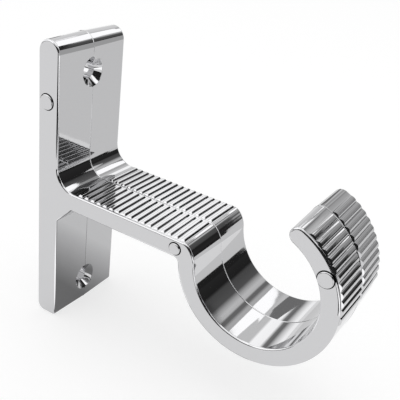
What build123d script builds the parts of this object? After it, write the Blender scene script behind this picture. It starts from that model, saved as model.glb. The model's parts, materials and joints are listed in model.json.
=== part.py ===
"""Wall bracket for a curtain rod: one cast piece with a back plate, a ribbed arm and an open ring hook."""
import os
from math import atan2, cos, degrees, floor, pi, radians, sin, sqrt, tan

from build123d import *

# Millimetres. X runs out from the wall, Y along the rod and Z up. The origin lies on the wall face,
# midway between the two screws.

width = 24.0  # of the whole bracket, along the rod
edge_round = 0.5  # round all along the edges of the two side faces

plate_thick = 6.2
plate_top = 39.0  # top of the plate above the origin
plate_foot = 37.0  # foot of the plate below the origin
foot_back_round = 2.2
foot_front_round = 1.0

screw_spacing = 60.0
screw_hole = 4.2  # clears a 4 mm countersunk screw
screw_head = 8.0  # mouth of the countersink
screw_head_angle = 90.0

arm_thick = 4.6  # its middle is level with the origin
root_fillet = 5.5  # hollow between the plate and the top of the arm
root_chamfer = 4.8  # slope between the plate and the underside of the arm

rod_dia = 30.0
rod_clearance = 0.25  # all round the rod in its seat
lead_margin = 0.05  # by how much the flare at each end of the seat is wider than the edge round
rod_reach = 62.5  # wall to the middle of the rod
rod_drop = 0.8  # middle of the rod below the middle of the arm
ring_wall = 4.4
bend_round = 3.8  # where the arm's top turns down into the seat
under_slope = 1.2  # slope between the arm's underside and the ring
hook_angle = 64.0  # middle of the hook's round tip, in degrees above the level of the rod
tip_thick = 4.1  # the ring's wall thins to this at the tip

rib_slope = 32.0  # lean of a rib's sides and ends, in degrees from upright
rib_land = 0.1  # bare strip between the edge round and a rib's end
seam_gap = 0.8  # bare strip at mid width, where the two halves of the mould meet
arm_rib_width = 1.25
arm_rib_height = 0.45
arm_rib_pitch = 1.88
arm_rib_start = 1.6  # first rib's middle beyond the root fillet
hook_rib_width = 1.75
hook_rib_height = 0.45
hook_rib_pitch = 1.97
hook_rib_start = 2.1  # first rib's middle beyond the round tip, along the hook's back

pad_height = 0.4  # raised marks that the mould's push-out pins leave on one side face
pad_bevel = 0.3
plate_pad_dia = 3.8
plate_pad_out = 2.7  # from the wall face
plate_pad_drop = 15.0  # below the top of the plate
arm_pad_dia = 2.9
arm_pad_back = 1.5  # short of the bend
hook_pad_dia = 3.7
hook_pad_angle = 30.0


def point_on(centre, radius, angle):
    """The point at an angle, in radians, on a circle in the side view."""
    return (centre[0] + radius * cos(angle), centre[1] + radius * sin(angle))


def angle_from(centre, point):
    """The angle, in radians, at which a point lies as seen from a centre."""
    return atan2(point[1] - centre[1], point[0] - centre[0])


# Places in the side view, as (x, z)
half_width = width / 2
top_radius = plate_thick / 2
arm_top = arm_thick / 2
arm_under = -arm_thick / 2
rod = (rod_reach, -rod_drop)
seat_radius = rod_dia / 2 + rod_clearance
ring_radius = seat_radius + ring_wall

bend_z = arm_top - bend_round
bend = (rod[0] - sqrt((seat_radius + bend_round) ** 2 - (bend_z - rod[1]) ** 2), bend_z)
bend_angle = angle_from(rod, bend)

under_z = arm_under - under_slope
under_ring = (rod[0] - sqrt(ring_radius**2 - (under_z - rod[1]) ** 2), under_z)

tip_angle = radians(hook_angle)
tip_inner = point_on(rod, seat_radius, tip_angle)
tip_outer = point_on(rod, seat_radius + tip_thick, tip_angle)
tip_middle = point_on(rod, seat_radius + tip_thick / 2, tip_angle)
tip_end = point_on(tip_middle, tip_thick / 2, tip_angle + pi / 2)

# The hook's back leaves the ring level with the rod and closes in on the seat towards the tip.
ring_front = (rod[0] + ring_radius, rod[1])
inset = ring_front[0] - tip_outer[0]
rise = tip_outer[1] - ring_front[1]
hook_radius = (inset**2 + rise**2) / (2 * inset)
hook = (ring_front[0] - hook_radius, rod[1])
hook_end = angle_from(hook, tip_outer)


def body():
    """The bracket's side profile, drawn out to its width, with its edges rounded."""
    top_middle = (top_radius, plate_top - top_radius)
    plate_back_high = (0, top_middle[1])
    plate_front_high = (plate_thick, top_middle[1])
    fillet_middle = (plate_thick + root_fillet, arm_top + root_fillet)
    fillet_high = (plate_thick, fillet_middle[1])
    fillet_low = (fillet_middle[0], arm_top)
    bend_start = (bend[0], arm_top)
    seat_start = point_on(rod, seat_radius, bend_angle)
    seat_bottom = point_on(rod, seat_radius, -pi / 2)
    ring_bottom = point_on(rod, ring_radius, -pi / 2)
    under_arm = (under_ring[0] - under_slope, arm_under)
    chamfer_arm = (plate_thick + root_chamfer, arm_under)
    chamfer_plate = (plate_thick, arm_under - root_chamfer)
    foot_front_middle = (plate_thick - foot_front_round, foot_front_round - plate_foot)
    foot_front_high = (plate_thick, foot_front_middle[1])
    foot_front_low = (foot_front_middle[0], -plate_foot)
    foot_back_middle = (foot_back_round, foot_back_round - plate_foot)
    foot_back_low = (foot_back_round, -plate_foot)
    foot_back_high = (0, foot_back_middle[1])

    with BuildPart() as bracket:
        with BuildSketch(Plane.XZ):
            with BuildLine():
                Line(foot_back_high, plate_back_high)
                ThreePointArc(plate_back_high, (top_radius, plate_top), plate_front_high)
                Line(plate_front_high, fillet_high)
                ThreePointArc(fillet_high, point_on(fillet_middle, root_fillet, -3 * pi / 4), fillet_low)
                Line(fillet_low, bend_start)
                ThreePointArc(bend_start, point_on(bend, bend_round, pi / 4), seat_start)
                ThreePointArc(seat_start, seat_bottom, tip_inner)
                ThreePointArc(tip_inner, tip_end, tip_outer)
                ThreePointArc(tip_outer, point_on(hook, hook_radius, hook_end / 2), ring_front)
                ThreePointArc(ring_front, ring_bottom, under_ring)
                Line(under_ring, under_arm)
                Line(under_arm, chamfer_arm)
                Line(chamfer_arm, chamfer_plate)
                Line(chamfer_plate, foot_front_high)
                ThreePointArc(
                    foot_front_high, point_on(foot_front_middle, foot_front_round, -pi / 4), foot_front_low
                )
                Line(foot_front_low, foot_back_low)
                ThreePointArc(
                    foot_back_low, point_on(foot_back_middle, foot_back_round, -3 * pi / 4), foot_back_high
                )
            make_face()
        extrude(amount=half_width, both=True)
        sides = bracket.faces().filter_by(Plane.XZ)
        fillet(sides.edges(), edge_round)
    return bracket.part


def screw_holes():
    """The two countersunk screw holes, as tools to cut with."""
    sink_depth = (screw_head - screw_hole) / 2 / tan(radians(screw_head_angle / 2))
    hole = Pos(0, 0, -plate_thick / 2) * Cylinder(screw_hole / 2, plate_thick)
    sink = Pos(0, 0, -sink_depth / 2) * Cone(screw_hole / 2, screw_head / 2, sink_depth)
    front = Plane((plate_thick, 0, 0), x_dir=(0, 1, 0), z_dir=(1, 0, 0))
    return [front * Pos(0, z) * (hole + sink) for z in (screw_spacing / 2, -screw_spacing / 2)]


def rod_lead():
    """The flares that lead the rod into the seat from either side, as tools to cut with."""
    lead = edge_round + lead_margin
    flare = Cone(seat_radius, seat_radius + lead, lead)
    end = half_width - lead / 2
    return [Pos(rod[0], -side * end, rod[1]) * Rot(90 * side, 0, 0) * flare for side in (-1, 1)]


def rib_pair(across, height):
    """Two bars with sloping sides and ends in line along Y, one each side of the mould's seam."""
    length = half_width - edge_round - rib_land - seam_gap / 2
    middle = (seam_gap + length) / 2
    foot = Rectangle(across, length)
    bar = extrude(foot, amount=height, taper=rib_slope) + extrude(foot, amount=-height)
    return [Pos(0, side * middle, 0) * bar for side in (-1, 1)]


def arm_ribs():
    """Two rows of ribs along the top of the arm, up to the bend."""
    start = plate_thick + root_fillet + arm_rib_start
    count = floor((bend[0] - start) / arm_rib_pitch) + 1
    pair = rib_pair(arm_rib_width, arm_rib_height)
    return [Pos(start + arm_rib_pitch * i, 0, arm_top) * bar for i in range(count) for bar in pair]


def hook_ribs():
    """Two rows of ribs down the back of the hook, from the tip to the level of the rod."""
    count = floor((hook_radius * hook_end - hook_rib_start) / hook_rib_pitch) + 1
    pair = rib_pair(hook_rib_width, hook_rib_height)
    ribs = []
    for i in range(count):
        angle = hook_end - (hook_rib_start + hook_rib_pitch * i) / hook_radius
        back = Pos(hook[0], 0, hook[1]) * Rot(0, 90 - degrees(angle), 0) * Pos(0, 0, hook_radius)
        ribs += [back * bar for bar in pair]
    return ribs


def push_pads():
    """The three raised round marks on the side face at -Y."""
    plate_pad = (plate_pad_out, plate_top - plate_pad_drop)
    arm_pad = (bend[0] - arm_pad_back, 0)
    hook_pad = point_on(rod, seat_radius + ring_wall / 2, radians(hook_pad_angle))
    pads = []
    for (x, z), dia in ((plate_pad, plate_pad_dia), (arm_pad, arm_pad_dia), (hook_pad, hook_pad_dia)):
        pad = Pos(0, 0, (pad_height - edge_round) / 2) * Cylinder(dia / 2, pad_height + edge_round)
        rim = pad.edges().filter_by(GeomType.CIRCLE).sort_by(Axis.Z)[-1]
        face = Plane((x, -half_width, z), x_dir=(1, 0, 0), z_dir=(0, -1, 0))
        pads.append(face * chamfer(rim, pad_bevel))
    return pads


if __name__ == "__main__":
    os.makedirs("parts", exist_ok=True)
    bracket = body() - screw_holes() - rod_lead() + arm_ribs() + hook_ribs() + push_pads()
    export_step(bracket, "parts/bracket.step")
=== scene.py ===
import json
from math import asin, atan, atan2, ceil, cos, floor, pi, radians, sin, sqrt, tan

import bmesh
import bpy
from mathutils import Matrix, Vector


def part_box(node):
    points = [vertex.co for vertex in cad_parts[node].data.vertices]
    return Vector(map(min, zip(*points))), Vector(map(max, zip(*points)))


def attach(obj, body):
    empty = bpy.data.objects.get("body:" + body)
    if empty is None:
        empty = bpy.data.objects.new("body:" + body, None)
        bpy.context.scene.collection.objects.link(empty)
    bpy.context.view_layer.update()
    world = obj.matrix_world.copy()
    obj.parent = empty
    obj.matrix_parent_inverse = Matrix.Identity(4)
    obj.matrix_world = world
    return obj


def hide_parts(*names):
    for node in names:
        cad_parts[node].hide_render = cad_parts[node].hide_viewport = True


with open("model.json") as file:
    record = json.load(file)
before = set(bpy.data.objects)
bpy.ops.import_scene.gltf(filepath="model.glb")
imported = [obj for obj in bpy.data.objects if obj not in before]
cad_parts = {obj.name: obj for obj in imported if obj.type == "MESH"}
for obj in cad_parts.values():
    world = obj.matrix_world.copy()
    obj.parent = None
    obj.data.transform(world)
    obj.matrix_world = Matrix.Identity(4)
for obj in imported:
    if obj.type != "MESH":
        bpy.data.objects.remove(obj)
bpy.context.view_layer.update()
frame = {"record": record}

# The casting: a round-topped back plate, an arm that grows out of it through a hollow fillet, and an open
# ring that cradles the rod, all one width. It is cast in zinc in a two-part mould that closes at mid width,
# so its walls lean a little from the seam out to the side faces, and the seam leaves a fine bead.
mounts = {mount["name"]: mount for mount in frame["record"]["mounts"]}
node_low, node_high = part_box("bracket")
half_width = node_high.y
plate_top = node_high.z
plate_foot = node_low.z
plate_thick = 0.0062
top_radius = plate_thick / 2
foot_back_round = 0.0022
foot_front_round = 0.0010
arm_thick = 0.0046
root_fillet = 0.0055
root_chamfer = 0.0048
rod_x, _, rod_z = mounts["rod_seat"]["pos_m"]
seat_radius = mounts["rod_seat"]["dims"]["r_mm"] / 1000
ring_wall = 0.0044
bend_tight = 0.0020  # the arm's top turns down tightly, then softly into the seat
bend_soft = 0.0060
bend_change = radians(48)
under_round = 0.0014
tip_angle = radians(64)
tip_thick = 0.0041
edge_round = 0.00050
arc_step = radians(2.5)
draft_rise = 0.00020  # by how much the seam stands proud of the edges of the side faces
bead_half = 0.00022
bead_rise = 0.00009
bead_steps = 2
edge_steps = 6
weld = 1e-7  # points closer than this are one

arm_top = arm_thick / 2
arm_under = -arm_thick / 2
ring_radius = seat_radius + ring_wall
bend_z = arm_top - bend_tight
soft_z = bend_z - (bend_soft - bend_tight) * sin(bend_change)
soft_x = rod_x - sqrt((seat_radius + bend_soft) ** 2 - (soft_z - rod_z) ** 2)
bend_x = soft_x + (bend_soft - bend_tight) * cos(bend_change)
bend_lean = atan2(rod_z - soft_z, rod_x - soft_x)
under_z = arm_under - under_round
under_x = rod_x - sqrt((ring_radius + under_round) ** 2 - (under_z - rod_z) ** 2)
under_lean = atan2(rod_z - under_z, rod_x - under_x)
tip_x = rod_x + (seat_radius + tip_thick / 2) * cos(tip_angle)
tip_z = rod_z + (seat_radius + tip_thick / 2) * sin(tip_angle)
tip_inset = ring_radius - (seat_radius + tip_thick) * cos(tip_angle)
tip_height = (seat_radius + tip_thick) * sin(tip_angle)
hook_radius = (tip_inset**2 + tip_height**2) / (2 * tip_inset)
hook_x = rod_x + ring_radius - hook_radius
hook_end = atan2(tip_height, hook_radius - tip_inset)


def line_to(mesh, pen, x, z):
    """Draws a straight edge in the side view and returns its far end."""
    end = bmesh.ops.extrude_vert_indiv(mesh, verts=[pen])["verts"][0]
    end.co = (x, 0, z)
    return end


def arc_about(mesh, pen, x, z, turn):
    """Draws an arc about a point in the side view, anticlockwise where the turn is above zero."""
    steps = ceil(abs(turn) / arc_step)
    arc = bmesh.ops.spin(mesh, geom=[pen], cent=(x, 0, z), axis=(0, -1, 0), angle=turn, steps=steps)
    return arc["geom_last"][0]


def points_of(parts):
    """The points among the parts of a mesh."""
    return [part for part in parts if isinstance(part, bmesh.types.BMVert)]


def round_off(mesh, edges, size, steps):
    """Rounds edges off over a size, in so many steps."""
    bmesh.ops.bevel(
        mesh, geom=list(edges), offset=size, segments=steps, profile=0.5, affect="EDGES", material=-1
    )


def new_object(name, mesh):
    """Puts a finished mesh into the scene."""
    data = bpy.data.meshes.new(name)
    mesh.to_mesh(data)
    mesh.free()
    made = bpy.data.objects.new(name, data)
    bpy.context.scene.collection.objects.link(made)
    return made


shell = bmesh.new()
pen = shell.verts.new((0, 0, plate_foot + foot_back_round))
pen = line_to(shell, pen, 0, plate_top - top_radius)
pen = arc_about(shell, pen, top_radius, plate_top - top_radius, -pi)
pen = line_to(shell, pen, plate_thick, arm_top + root_fillet)
pen = arc_about(shell, pen, plate_thick + root_fillet, arm_top + root_fillet, pi / 2)
pen = line_to(shell, pen, bend_x, arm_top)
pen = arc_about(shell, pen, bend_x, bend_z, bend_change - pi / 2)
pen = arc_about(shell, pen, soft_x, soft_z, bend_lean - bend_change)
pen = arc_about(shell, pen, rod_x, rod_z, pi - bend_lean + tip_angle)
pen = arc_about(shell, pen, tip_x, tip_z, -pi)
pen = arc_about(shell, pen, hook_x, rod_z, -hook_end)
pen = arc_about(shell, pen, rod_x, rod_z, under_lean - pi)
pen = arc_about(shell, pen, under_x, under_z, pi / 2 - under_lean)
pen = line_to(shell, pen, plate_thick + root_chamfer, arm_under)
pen = line_to(shell, pen, plate_thick, arm_under - root_chamfer)
pen = line_to(shell, pen, plate_thick, plate_foot + foot_front_round)
pen = arc_about(shell, pen, plate_thick - foot_front_round, plate_foot + foot_front_round, -pi / 2)
pen = line_to(shell, pen, foot_back_round, plate_foot)
pen = arc_about(shell, pen, foot_back_round, plate_foot + foot_back_round, -pi / 2)
bmesh.ops.remove_doubles(shell, verts=shell.verts[:], dist=weld)

profile = bmesh.ops.contextual_create(shell, geom=shell.edges[:])["faces"][0]
drawn = bmesh.ops.extrude_face_region(shell, geom=[profile])["geom"]
bmesh.ops.translate(shell, verts=points_of(drawn), vec=(0, half_width, 0))
bmesh.ops.delete(shell, geom=[profile], context="FACES_ONLY")
half = shell.verts[:] + shell.edges[:] + shell.faces[:]
bmesh.ops.mirror(shell, geom=half, axis="Y", merge_dist=weld)
bmesh.ops.recalc_face_normals(shell, faces=shell.faces[:])

seam = [edge for edge in shell.edges if all(abs(vert.co.y) < weld for vert in edge.verts)]
round_off(shell, seam, bead_half, bead_steps)
shell.normal_update()
for vert in shell.verts:
    lift = draft_rise * (1 - abs(vert.co.y) / half_width)
    if abs(vert.co.y) < bead_half / 2:
        lift += bead_rise
    if abs(vert.co.y) < half_width / 2:
        vert.co += vert.normal * lift
    vert.co.x = max(vert.co.x, 0)
    vert.co.z = max(vert.co.z, plate_foot)
side_faces = [face for face in shell.faces if len(face.verts) > 4]
round_off(shell, {edge for face in side_faces for edge in face.edges}, edge_round, edge_steps)
bmesh.ops.recalc_face_normals(shell, faces=shell.faces[:])
casting = new_object("bracket_casting", shell)

# The ribs: bars cast with the arm and the hook to catch the light, flat-topped on the arm and rounded like
# flutes on the hook. They run along the rod in two rows, from close to the seam out to the side faces.
rib_slope = radians(32)  # lean of the sides and ends from upright
rib_round = 0.00011
rib_steps = 3
rib_land = 0.0001
seam_gap = 0.0008
arm_rib_width = 0.00125
arm_rib_height = 0.00045
arm_rib_pitch = 0.00188
arm_rib_start = 0.0016
hook_rib_width = 0.00190
hook_rib_height = 0.00042
hook_rib_pitch = 0.00197
hook_rib_start = 0.0021

ribs = bmesh.new()
draft = atan(draft_rise / half_width)
rib_length = half_width - edge_round - rib_land - seam_gap / 2
rib_middle = (seam_gap + rib_length) / 2


def add_ribs(places, bar):
    """Sets a pair of copies of a bar in line along Y on the surface at each of the places."""
    data = bpy.data.meshes.new("rib")
    bar.to_mesh(data)
    bar.free()
    for place in places:
        for side in (-1, 1):
            known = len(ribs.verts)
            ribs.from_mesh(data)
            ribs.verts.ensure_lookup_table()
            middle = Matrix.Translation((0, side * rib_middle, draft_rise))
            lie = Matrix.Rotation(-side * draft, 4, "X") @ middle
            bmesh.ops.transform(ribs, matrix=place @ lie, verts=ribs.verts[known:])
    bpy.data.meshes.remove(data)


taper = 2 * arm_rib_height * tan(rib_slope)
bar = bmesh.new()
bmesh.ops.create_cube(bar, size=1)
foot = [vert for vert in bar.verts if vert.co.z < 0]
top = [vert for vert in bar.verts if vert.co.z > 0]
bmesh.ops.scale(bar, vec=(arm_rib_width + taper, rib_length + taper, 2 * arm_rib_height), verts=foot)
bmesh.ops.scale(bar, vec=(arm_rib_width - taper, rib_length - taper, 2 * arm_rib_height), verts=top)
round_off(bar, {edge for vert in top for edge in vert.link_edges}, rib_round, rib_steps)
arm_start = plate_thick + root_fillet + arm_rib_start
arm_count = floor((bend_x - arm_start) / arm_rib_pitch) + 1
add_ribs([Matrix.Translation((arm_start + arm_rib_pitch * i, 0, arm_top)) for i in range(arm_count)], bar)

flute_radius = (hook_rib_width**2 / 4 + hook_rib_height**2) / (2 * hook_rib_height)
flute_turn = 2 * asin(hook_rib_width / 2 / flute_radius)
bar = bmesh.new()
pen = bar.verts.new((-hook_rib_width / 2, 0, -hook_rib_height))
pen = line_to(bar, pen, -hook_rib_width / 2, 0)
pen = arc_about(bar, pen, 0, hook_rib_height - flute_radius, -flute_turn)
pen = line_to(bar, pen, hook_rib_width / 2, -hook_rib_height)
pen = line_to(bar, pen, -hook_rib_width / 2, -hook_rib_height)
bmesh.ops.remove_doubles(bar, verts=bar.verts[:], dist=weld)
end = bmesh.ops.contextual_create(bar, geom=bar.edges[:])["faces"][0]
bmesh.ops.translate(bar, verts=bar.verts[:], vec=(0, -rib_length / 2, 0))
drawn = bmesh.ops.extrude_face_region(bar, geom=[end])["geom"]
bmesh.ops.translate(bar, verts=points_of(drawn), vec=(0, rib_length, 0))
bmesh.ops.recalc_face_normals(bar, faces=bar.faces[:])
for vert in bar.verts:
    vert.co.y *= 1 - 2 * vert.co.z * tan(rib_slope) / rib_length
hook_count = floor((hook_radius * hook_end - hook_rib_start) / hook_rib_pitch) + 1
hook_places = []
for i in range(hook_count):
    lean = pi / 2 - hook_end + (hook_rib_start + hook_rib_pitch * i) / hook_radius
    turned = Matrix.Translation((hook_x, 0, rod_z)) @ Matrix.Rotation(lean, 4, "Y")
    hook_places.append(turned @ Matrix.Translation((0, 0, hook_radius)))
add_ribs(hook_places, bar)
ribs_tool = new_object("ribs", ribs)

# The push-out marks: three low round pads on one side face, where the mould's pins pushed the hot casting
# out. Their rims are soft, and a fine gap is left round each, where its pin slid in the mould.
pad_height = 0.00040
pad_round = 0.00022
pad_steps = 6
pad_sides = 64
pin_gap = 0.00024
pin_gap_depth = 0.0005
plate_pad_out = 0.0027
plate_pad_drop = 0.0150
plate_pad_radius = 0.0019
arm_pad_back = 0.0020  # short of the bend
arm_pad_radius = 0.00145
hook_pad_angle = radians(30)
hook_pad_reach = seat_radius + ring_wall / 2
hook_pad_radius = 0.00185

plate_pad = (plate_pad_out, plate_top - plate_pad_drop, plate_pad_radius)  # x, z and radius
arm_pad = (bend_x - arm_pad_back, 0, arm_pad_radius)
hook_pad = (
    rod_x + hook_pad_reach * cos(hook_pad_angle),
    rod_z + hook_pad_reach * sin(hook_pad_angle),
    hook_pad_radius,
)
push_pads = (plate_pad, arm_pad, hook_pad)
pads = bmesh.new()
for x, z, radius in push_pads:
    disc = bmesh.ops.create_cone(
        pads, cap_ends=True, segments=pad_sides, radius1=radius, radius2=radius, depth=4 * pad_height,
        matrix=Matrix.Translation((x, pad_height - half_width, z)) @ Matrix.Rotation(pi / 2, 4, "X"),
    )["verts"]
    edges = {edge for vert in disc for edge in vert.link_edges}
    rim = [edge for edge in edges if all(vert.co.y < -half_width for vert in edge.verts)]
    round_off(pads, rim, pad_round, pad_steps)
pads_tool = new_object("pads", pads)

pin_gaps = bmesh.new()
for x, z, radius in push_pads:
    inner = x + radius
    outer = inner + pin_gap
    floor_y = pin_gap_depth - half_width
    mouth_y = -pad_height - half_width
    pen = pin_gaps.verts.new((inner, floor_y, z))
    gap = [pen]
    for corner in ((outer, floor_y, z), (outer, mouth_y, z), (inner, mouth_y, z), (inner, floor_y, z)):
        pen = bmesh.ops.extrude_vert_indiv(pin_gaps, verts=[pen])["verts"][0]
        pen.co = corner
        gap.append(pen)
    bmesh.ops.remove_doubles(pin_gaps, verts=gap, dist=weld)
    gap = [vert for vert in gap if vert.is_valid]
    bmesh.ops.spin(
        pin_gaps, geom=gap + list({edge for vert in gap for edge in vert.link_edges}), cent=(x, 0, z),
        axis=(0, 1, 0), angle=2 * pi, steps=pad_sides, use_merge=True,
    )
bmesh.ops.recalc_face_normals(pin_gaps, faces=pin_gaps.faces[:])
gaps_tool = new_object("pin_gaps", pin_gaps)

# The screw holes: bored through the plate and countersunk from the front for 4 mm flat-headed screws. The
# sink's lip is worn soft by the polishing wheel.
hole_radius = mounts["wall_screws"]["dims"]["hole_r_mm"] / 1000
hole_spread = mounts["wall_screws"]["dims"]["spacing_y_mm"] / 2000
hole_sides = 96
sink_radius = 0.0037
lip = 0.00020

drills = bmesh.new()
front = plate_thick + draft_rise
pen = drills.verts.new((-lip, 0, hole_radius))
pen = line_to(drills, pen, front - sink_radius + hole_radius, hole_radius)
pen = line_to(drills, pen, front - lip, sink_radius - lip)
pen = line_to(drills, pen, front - lip / 4, sink_radius + lip / 3)
pen = line_to(drills, pen, front + 2 * lip, sink_radius + 4 * lip)
bmesh.ops.spin(
    drills, geom=drills.verts[:] + drills.edges[:], cent=(0, 0, 0), axis=(1, 0, 0), angle=2 * pi,
    steps=hole_sides, use_merge=True,
)
bmesh.ops.holes_fill(drills, edges=[edge for edge in drills.edges if edge.is_boundary])
bmesh.ops.recalc_face_normals(drills, faces=drills.faces[:])
upper = drills.verts[:] + drills.edges[:] + drills.faces[:]
lower = bmesh.ops.duplicate(drills, geom=upper)["geom"]
for drill, z in ((upper, hole_spread), (lower, -hole_spread)):
    bmesh.ops.translate(drills, verts=points_of(drill), vec=(0, 0, z))
drills_tool = new_object("drills", drills)

# The finished casting: ribs and marks are one metal with it, and the gaps and screw holes are gone from it.
# The polishing wheel leaves its faces smooth and the corners between them crisp.
crease = radians(34)
for tool, operation in (
    (ribs_tool, "UNION"), (pads_tool, "UNION"), (gaps_tool, "DIFFERENCE"), (drills_tool, "DIFFERENCE")
):
    joint = casting.modifiers.new(tool.name, "BOOLEAN")
    joint.operation = operation
    joint.solver = "MANIFOLD"
    joint.object = tool
whole = bpy.data.meshes.new_from_object(casting.evaluated_get(bpy.context.evaluated_depsgraph_get()))
casting.modifiers.clear()
casting.data = whole
for tool in (ribs_tool, pads_tool, gaps_tool, drills_tool):
    bpy.data.objects.remove(tool)
whole.shade_smooth()
whole.set_sharp_from_angle(angle=crease)
evened = casting.modifiers.new("evened", "WEIGHTED_NORMAL")
evened.keep_sharp = True
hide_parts("bracket")
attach(casting, "root")


# The plating: bright nickel and chrome over the polished casting. It is a near-perfect mirror, a little
# hazier in places, and follows the faint unevenness of hand polishing. The gaps round the push-out marks
# are painted near black, as painted shade in those narrow recesses.
class Shade:
    """A value in a shader tree: sums on it add Math nodes, and node() adds any other node."""

    def __init__(self, tree, socket=None):
        self.tree = tree
        self.socket = socket

    def node(self, kind, settings, sockets, output=0):
        """Adds a node with its settings and with values or links on its sockets, and gives an output."""
        made = self.tree.nodes.new(kind)
        for name, value in settings.items():
            if name == "stops":
                self._set_stops(made.color_ramp.elements, value)
            else:
                setattr(made, name, value)
        for name, value in sockets.items():
            if isinstance(value, Shade):
                self.tree.links.new(value.socket, made.inputs[name])
            else:
                made.inputs[name].default_value = value
        return Shade(self.tree, made.outputs[output]) if made.outputs else None

    def _set_stops(self, ramp, stops):
        ramp.remove(ramp[1])
        ramp[0].position, ramp[0].color = stops[0]
        for position, colour in stops[1:]:
            ramp.new(position).color = colour

    def _math(self, operation, first, second):
        return self.node("ShaderNodeMath", {"operation": operation}, {0: first, 1: second})

    def __add__(self, other):
        return self._math("ADD", self, other)

    def __sub__(self, other):
        return self._math("SUBTRACT", self, other)

    def __rsub__(self, other):
        return self._math("SUBTRACT", other, self)

    def __mul__(self, other):
        return self._math("MULTIPLY", self, other)

    __radd__ = __add__
    __rmul__ = __mul__


def new_material(name):
    """A material with an empty tree, and the tree's pen."""
    material = bpy.data.materials.new(name)
    material.use_nodes = True
    material.node_tree.nodes.clear()
    return material, Shade(material.node_tree)


chrome_tint = (0.61, 0.61, 0.62, 1)
# The near-black colour below is painted shade, laid into the gaps round the push-out marks.
painted_shade_tint = (0.03, 0.03, 0.03, 1)
painted_shade_half = 0.52 * pin_gap  # half the width of the dark ring in a gap
painted_shade_top = pin_gap / 4 - half_width
painted_shade_foot = 2 * pin_gap_depth - half_width
mirror_rough = 0.02
haze_rough = 0.05
haze_scale = 140.0
wave_scale = 160.0
wave_depth = 0.0002
wave_strength = 0.05

chrome, pen = new_material("chrome_plate")
place = pen.node("ShaderNodeTexCoord", {}, {}, "Object")
haze = pen.node("ShaderNodeTexNoise", {}, {"Vector": place, "Scale": haze_scale, "Detail": 3.0}, "Fac")
wave = pen.node("ShaderNodeTexNoise", {}, {"Vector": place, "Scale": wave_scale, "Detail": 1.0}, "Fac")
bump = pen.node("ShaderNodeBump", {}, {"Height": wave, "Strength": wave_strength, "Distance": wave_depth})
depth = pen.node("ShaderNodeSeparateXYZ", {}, {"Vector": place}, "Y")
level = pen.node("ShaderNodeVectorMath", {"operation": "MULTIPLY"}, {0: place, 1: (1, 0, 1)})
in_gap = 0
for x, z, radius in push_pads:
    away = pen.node("ShaderNodeVectorMath", {"operation": "DISTANCE"}, {0: level, 1: (x, 0, z)}, "Value")
    ring = {0: away, 1: radius + pin_gap / 2, 2: painted_shade_half}
    in_gap = in_gap + pen.node("ShaderNodeMath", {"operation": "COMPARE"}, ring)
below = pen.node("ShaderNodeMath", {"operation": "GREATER_THAN"}, {0: depth, 1: painted_shade_top})
shallow = pen.node("ShaderNodeMath", {"operation": "LESS_THAN"}, {0: depth, 1: painted_shade_foot})
# Painted shade: the base colour turns near black inside the gaps round the pads.
tint = pen.node(
    "ShaderNodeMix",
    {"data_type": "RGBA"},
    {"Factor": in_gap * below * shallow, 6: chrome_tint, 7: painted_shade_tint},
    2,
)
metal = pen.node(
    "ShaderNodeBsdfPrincipled",
    {},
    {"Base Color": tint, "Metallic": 1.0, "Roughness": mirror_rough + haze_rough * haze, "Normal": bump},
)
pen.node("ShaderNodeOutputMaterial", {}, {"Surface": metal})
casting.data.materials.clear()
casting.data.materials.append(chrome)

# The sheet: white paper under the bracket, which stands on the foot of its plate. It shows white to the
# camera and in the chrome, and still takes the bracket's shadow.
sheet_half = 5
sheet_white = (0.50, 0.50, 0.50, 1)
sheet_lift = 0.59


def seen_rays(pen):
    """One where a thing is seen, by the camera or in the chrome, and zero where it only gives light."""
    rays = ("Is Camera Ray", "Is Glossy Ray", "Is Transmission Ray")
    camera, glossy, through = (pen.node("ShaderNodeLightPath", {}, {}, ray) for ray in rays)
    return camera + glossy + through


paper, pen = new_material("white_sheet")
matt = pen.node("ShaderNodeBsdfDiffuse", {}, {"Color": sheet_white})
glow = pen.node("ShaderNodeEmission", {}, {"Strength": seen_rays(pen) * sheet_lift})
both = pen.node("ShaderNodeAddShader", {}, {0: matt, 1: glow})
pen.node("ShaderNodeOutputMaterial", {}, {"Surface": both})
mesh = bmesh.new()
under = Matrix.Translation((0, 0, plate_foot))
bmesh.ops.create_grid(mesh, x_segments=1, y_segments=1, size=sheet_half, matrix=under)
sheet = new_object("sheet", mesh)
sheet.data.materials.append(paper)

# The reflectors: papers bent over the bracket from right to left, cards stood and laid round it, and dark
# films on the sheet, which are painted shadow under and behind the bracket. They draw the dark and bright
# bands in the chrome, and nothing but the chrome shows them.
studio_middle = 0.045  # out from the wall
brightest = 1.6  # where 1 is the white of the room
darkest = 0.02
paper_far = 1.2
paper_turn = radians(176)
paper_steps = 72
root_tones = (  # degrees from level at the right, and the tone there
    (0, 0.03), (50, 0.02), (58, 0.08), (88, 0.14), (93, 0.40), (105, 0.40), (110, 1.40), (143, 1.40),
    (146, 0.10), (170, 0.10),
)
near_tones = (
    (0, 0.03), (23, 0.02), (28, 0.09), (46, 0.12), (53, 0.50), (60, 0.75), (66, 0.70), (69, 0.20),
    (74, 0.20), (79, 0.60), (106, 0.60), (113, 0.80), (121, 0.80), (125, 1.45), (141, 1.40), (147, 0.25),
    (153, 0.20), (160, 0.80), (170, 1.30),
)
far_tones = (
    (0, 0.30), (7, 0.05), (14, 0.50), (21, 0.08), (28, 0.65), (36, 0.10), (46, 0.60), (54, 0.18),
    (62, 0.70), (74, 0.30), (90, 0.65), (110, 0.40), (130, 0.75), (170, 0.90),
)
white_level = plate_foot + 0.0008  # cards and films that lie on the sheet, the white ones on top
black_level = plate_foot + 0.0005
painted_shadow_level = plate_foot + 0.0004


def mirrored(name, mesh, light):
    """Puts a card that shows in the chrome alone in the studio."""
    made = new_object(name, mesh)
    made.data.materials.append(light)
    made.visible_camera = False
    made.visible_diffuse = False
    made.visible_shadow = False


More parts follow.
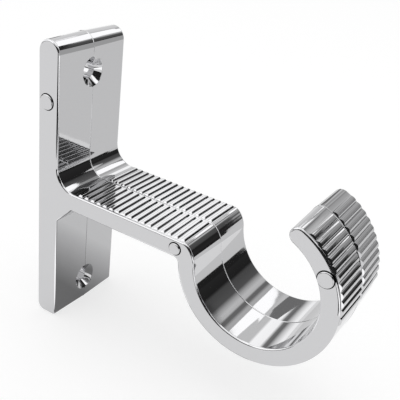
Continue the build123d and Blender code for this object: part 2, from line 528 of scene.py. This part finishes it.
def plain(name, tone):
    """A material that gives off an even grey."""
    material, pen = new_material(name)
    glow = pen.node("ShaderNodeEmission", {}, {"Color": (tone, tone, tone, 1)})
    pen.node("ShaderNodeOutputMaterial", {}, {"Surface": glow})
    return material


def banded(name, tones):
    """A material that gives off greys in bands about a line along the rod, by degrees from level."""
    material, pen = new_material(name)
    place = pen.node("ShaderNodeTexCoord", {}, {}, "Object")
    out = pen.node("ShaderNodeSeparateXYZ", {}, {"Vector": place}, "X") - studio_middle
    up = pen.node("ShaderNodeSeparateXYZ", {}, {"Vector": place}, "Z")
    turn = pen.node("ShaderNodeMath", {"operation": "ARCTAN2"}, {0: up, 1: out})
    stops = []
    for angle, tone in tones:
        grey = tone / brightest
        stops.append((angle / 180, (grey, grey, grey, 1)))
    bands = pen.node("ShaderNodeValToRGB", {"stops": stops}, {"Fac": turn * (1 / pi)})
    glow = pen.node("ShaderNodeEmission", {}, {"Color": bands, "Strength": brightest})
    pen.node("ShaderNodeOutputMaterial", {}, {"Surface": glow})
    return material


def flat_card(name, sizes, place, light):
    """A card of two sizes, turned and set in its place."""
    mesh = bmesh.new()
    bmesh.ops.create_grid(mesh, x_segments=1, y_segments=1, size=0.5)
    bmesh.ops.scale(mesh, vec=(*sizes, 1), verts=mesh.verts[:])
    bmesh.ops.transform(mesh, matrix=place, verts=mesh.verts[:])
    mirrored(name, mesh, light)


def card(name, bearings, heights, far, tone):
    """A standing card between bearings, clockwise from behind the bracket, and heights, both in degrees."""
    left, right = (radians(angle) for angle in bearings)
    low, high = (far * tan(radians(angle)) for angle in heights)
    facing = Matrix.Rotation(-(left + right) / 2, 4, "Z") @ Matrix.Translation((0, far, (low + high) / 2))
    facing = Matrix.Translation((studio_middle, 0, 0)) @ facing @ Matrix.Rotation(pi / 2, 4, "X")
    flat_card(name, (2 * far * tan((right - left) / 2), high - low), facing, plain(name, tone))


def back_card(name, across, heights, behind, tone):
    """An upright card close behind the bracket, parallel to the side faces."""
    middle = Matrix.Translation((sum(across) / 2, behind, sum(heights) / 2))
    sizes = (across[1] - across[0], heights[1] - heights[0])
    flat_card(name, sizes, middle @ Matrix.Rotation(pi / 2, 4, "X"), plain(name, tone))


def plate_card(name, along, heights, out, tone):
    """An upright card close before the plate, parallel to it."""
    middle = Matrix.Translation((out, sum(along) / 2, sum(heights) / 2))
    sizes = (heights[1] - heights[0], along[1] - along[0])
    flat_card(name, sizes, middle @ Matrix.Rotation(pi / 2, 4, "Y"), plain(name, tone))


def level_card(name, across, along, height, light):
    """A level card between two places across and two along the rod."""
    middle = Matrix.Translation((sum(across) / 2, sum(along) / 2, height))
    flat_card(name, (across[1] - across[0], along[1] - along[0]), middle, light)


def bent_paper(name, ends, tones):
    """A paper bent over the line of the rod from level to level, between two slants along it."""
    mesh = bmesh.new()
    pen = mesh.verts.new((studio_middle + paper_far, ends[0] * paper_far, 0))
    bmesh.ops.extrude_vert_indiv(mesh, verts=[pen])["verts"][0].co.y = ends[1] * paper_far
    bmesh.ops.spin(
        mesh, geom=mesh.verts[:] + mesh.edges[:], cent=(studio_middle, 0, 0), axis=(0, -1, 0),
        angle=paper_turn, steps=paper_steps,
    )
    mirrored(name, mesh, banded(name, tones))


def painted_shadow_film(name, across, along, darkness):
    """Painted shadow: a dark film on the sheet, seen in the chrome alone, which thins from one depth to
    another over a reach behind the bracket.
    """
    material, pen = new_material(name)
    place = pen.node("ShaderNodeTexCoord", {}, {}, "Object")
    behind = pen.node("ShaderNodeSeparateXYZ", {}, {"Vector": place}, "Y")
    deep, thin, reach = darkness
    fall = {"Value": behind, "From Min": 0.0, "From Max": reach, "To Min": deep, "To Max": thin}
    depth = pen.node("ShaderNodeMapRange", {}, fall)
    clear = pen.node("ShaderNodeBsdfTransparent", {}, {})
    dark = pen.node("ShaderNodeEmission", {}, {"Color": (0, 0, 0, 1)})
    veil = pen.node("ShaderNodeMixShader", {}, {0: depth, 1: clear, 2: dark})
    pen.node("ShaderNodeOutputMaterial", {}, {"Surface": veil})
    level_card(name, across, along, painted_shadow_level, material)


bent_paper("root_paper", (0.5, 0.955), root_tones)
bent_paper("near_paper", (0.955, 1.42), near_tones)
bent_paper("far_paper", (1.42, 2.4), far_tones)
card("low_right", (36, 62), (-6, 2), 0.35, darkest)
card("dark_side", (72, 95), (-17, 45), 0.12, 0.03)
card("black_front", (140, 205), (-3, 28), 0.7, darkest)
card("black_right", (84, 165), (5, 46), 0.7, darkest)
card("white_right", (60, 142), (24, 52), 0.9, brightest)
back_card("dark_behind", (0.002, 0.026), (0.022, 0.060), 0.112, 0.22)
back_card("grey_behind", (0.036, 0.049), (0.030, 0.045), 0.047, 0.8)
card("dark_front", (-162, -110), (-3, 7), 0.8, 0.03)
card("white_left", (-165, -85), (8, 60), 0.9, brightest)
white = plain("white_card", brightest)
black = plain("black_card", darkest)
level_card("panel_near", (0.000, 0.070), (0.149, 0.186), 0.150, white)
level_card("panel_far", (0.000, 0.070), (0.206, 0.236), 0.150, white)
level_card("white_over_plate", (-0.003, 0.028), (0.014, 0.050), 0.070, white)
level_card("pale_over_plate", (-0.016, 0.0015), (-0.008, 0.034), 0.045, plain("pale_card", 0.9))
plate_card("grey_by_plate", (-0.013, 0.018), (0.0350, 0.0381), 0.009, 0.5)
level_card("white_front", (0.150, 0.320), (-0.250, 0.000), white_level, white)
level_card("black_floor", (-0.050, 0.250), (-0.600, -0.112), black_level, black)
level_card("black_near_floor", (0.085, 0.145), (-0.112, -0.070), black_level, black)
level_card("white_foot", (0.008, 0.030), (-0.038, -0.014), white_level, white)
# Painted shadow on the sheet, seen only in the chrome: behind the bracket and under its arm.
painted_shadow_film("film_behind", (-0.30, 1.20), (0.080, 1.20), (0.20, 0.20, 1.0))
painted_shadow_film("film_under_arm", (plate_thick, 0.060), (-0.0135, 0.080), (0.74, 0.18, 0.026))

# The light: one large square soft box overhead, and the even light of a white room. The room is white to
# the camera and in the chrome, and gives a little less light than it shows.
room_light = 0.75
lamp = bpy.data.lights.new("soft_box", "AREA")
lamp.shape = "SQUARE"
lamp.size = 0.6
lamp.energy = 0.6
lamp_stand = bpy.data.objects.new("soft_box", lamp)
lamp_stand.location = (0.03, 0.0, 0.7)
bpy.context.scene.collection.objects.link(lamp_stand)

world = bpy.data.worlds.new("white_room")
world.use_nodes = True
world.node_tree.nodes.clear()
pen = Shade(world.node_tree)
strength = room_light + (1 - room_light) * seen_rays(pen)
room = pen.node("ShaderNodeBackground", {}, {"Color": (1, 1, 1, 1), "Strength": strength})
pen.node("ShaderNodeOutputWorld", {}, {"Surface": room})
bpy.context.scene.world = world
bpy.context.scene.view_settings.view_transform = "Standard"

# The camera: a short telephoto lens close to the bracket, above its right front. It is rolled a little, so
# that the plate stands nearly upright in the picture.
view_azimuth = radians(28.86)
view_elevation = radians(27.48)
view_roll = radians(7.30)
view_distance = 0.16140
view_target = Vector((0.04027, 0, 0.00729))
camera = bpy.data.cameras.new("camera")
camera.sensor_width = 36
camera.lens = 61.3
camera.clip_start = 0.005
back = Vector(
    (
        sin(view_azimuth) * cos(view_elevation),
        -cos(view_azimuth) * cos(view_elevation),
        sin(view_elevation),
    )
)
level = (-back).cross(Vector((0, 0, 1))).normalized()
upright = level.cross(-back)
right = cos(view_roll) * level + sin(view_roll) * upright
above = cos(view_roll) * upright - sin(view_roll) * level
stand = bpy.data.objects.new("camera", camera)
stand.matrix_world = Matrix.Translation(view_target + back * view_distance) @ Matrix(
    (right, above, back)
).transposed().to_4x4()
bpy.context.scene.collection.objects.link(stand)
bpy.context.scene.camera = stand
